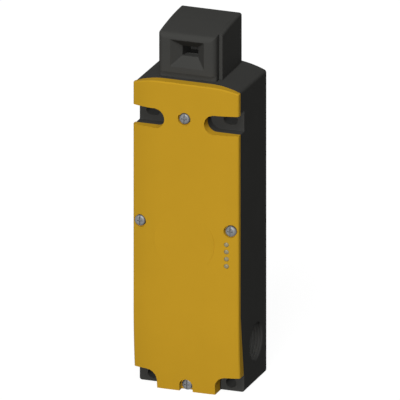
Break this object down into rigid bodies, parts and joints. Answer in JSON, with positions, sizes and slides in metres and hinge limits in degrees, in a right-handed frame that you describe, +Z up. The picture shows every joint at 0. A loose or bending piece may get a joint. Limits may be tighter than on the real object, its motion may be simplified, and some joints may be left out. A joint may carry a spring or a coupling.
{
  "type": "tongue interlock switch",
  "caption": "Safety switch in a long plastic case, with a turning head that takes a coded tongue, guard locking by solenoid, status lamps and threaded cable entries.",
  "frame": {"origin": "middle of the footprint, at the lower end of the case", "axes": "+Z up along the case towards the head, -Y out of the cover, +Y out of the mounting back"},
  "size_m": [0.0546, 0.0436, 0.185],
  "materials": {
    "case_plastic": "fine moulded grain",
    "cover_plastic": "smooth moulded, slight sheen",
    "head_plastic": "fine moulded grain",
    "inner_plastic": "moulded",
    "block_plastic": "moulded",
    "gasket_rubber": "smooth",
    "screw_steel": "zinc plated",
    "clear_pipe": "clear moulded dome",
    "board_green": "solder resist",
    "lamp": "moulded lens",
    "steel": "turned or stamped",
    "contact_metal": "stamped",
    "copper_wire": "enamelled wire",
    "spring_steel": "drawn wire"
  },
  "bodies": {
    "housing": {"body_housing": "case_plastic", "front_cover": "cover_plastic", "cover_gasket": "gasket_rubber", "cover_screws": "screw_steel", "light_pipes": "clear_pipe", "status_board": "board_green", "board_leds": "lamp", "plunger_guide": "inner_plastic", "guide_screws": "screw_steel", "position_block": "block_plastic", "position_contacts": "contact_metal", "position_terminal_screws": "screw_steel", "lock_block": "block_plastic", "lock_contacts": "contact_metal", "lock_terminal_screws": "screw_steel", "block_screws": "screw_steel", "solenoid_frame": "steel", "solenoid_screws": "screw_steel", "solenoid_bobbin": "inner_plastic", "solenoid_winding": "copper_wire", "solenoid_core": "steel", "terminal_strip": "block_plastic", "terminal_clamps": "contact_metal", "terminal_screws": "screw_steel", "strip_screws": "screw_steel"},
    "head": {"head_housing": "head_plastic", "entry_hood": "head_plastic", "head_side_plate": "head_plastic", "head_collar": "head_plastic", "collar_clip": "spring_steel", "head_seal": "gasket_rubber", "cam_axle": "steel"},
    "cam": {"cam_wheel": "steel"},
    "plunger": {"switching_plunger": "inner_plastic", "position_bridge": "contact_metal", "plunger_spring": "spring_steel"},
    "armature": {"armature": "steel", "armature_rod": "steel", "lock_pin": "steel", "lock_bridge": "contact_metal", "armature_spring": "spring_steel"},
    "lock_slide": {"locking_slide": "inner_plastic"}
  },
  "joints": [
    {"name": "head_turn", "type": "hinge", "parent": "housing", "child": "head", "pos_m": [0, 0.00115, 0.16], "axis": [0, 0, 1], "range_deg": [-90, 180]},
    {"name": "cam_turn", "type": "hinge", "parent": "head", "child": "cam", "pos_m": [-0.00085, 0.00115, 0.1669], "axis": [-1, 0, 0], "range_deg": [0, 70]},
    {"name": "plunger_travel", "type": "slide", "parent": "housing", "child": "plunger", "axis": [0, 0, -1], "range_m": [0, 0.0033], "stiffness_N_per_m": 400, "springref_m": -0.004, "deforming": ["plunger_spring"]},
    {"name": "armature_travel", "type": "slide", "parent": "housing", "child": "armature", "axis": [0, 0, 1], "range_m": [0, 0.003], "stiffness_N_per_m": 300, "springref_m": -0.004, "deforming": ["armature_spring"]},
    {"name": "lock_slide_travel", "type": "slide", "parent": "housing", "child": "lock_slide", "axis": [-1, 0, 0], "range_m": [0, 0.003]}
  ],
  "couplings": [
    {"joint": "cam_turn", "follows": "plunger_travel", "rad_per_m": 370.2},
    {"joint": "lock_slide_travel", "follows": "armature_travel", "ratio": 1}
  ]
}
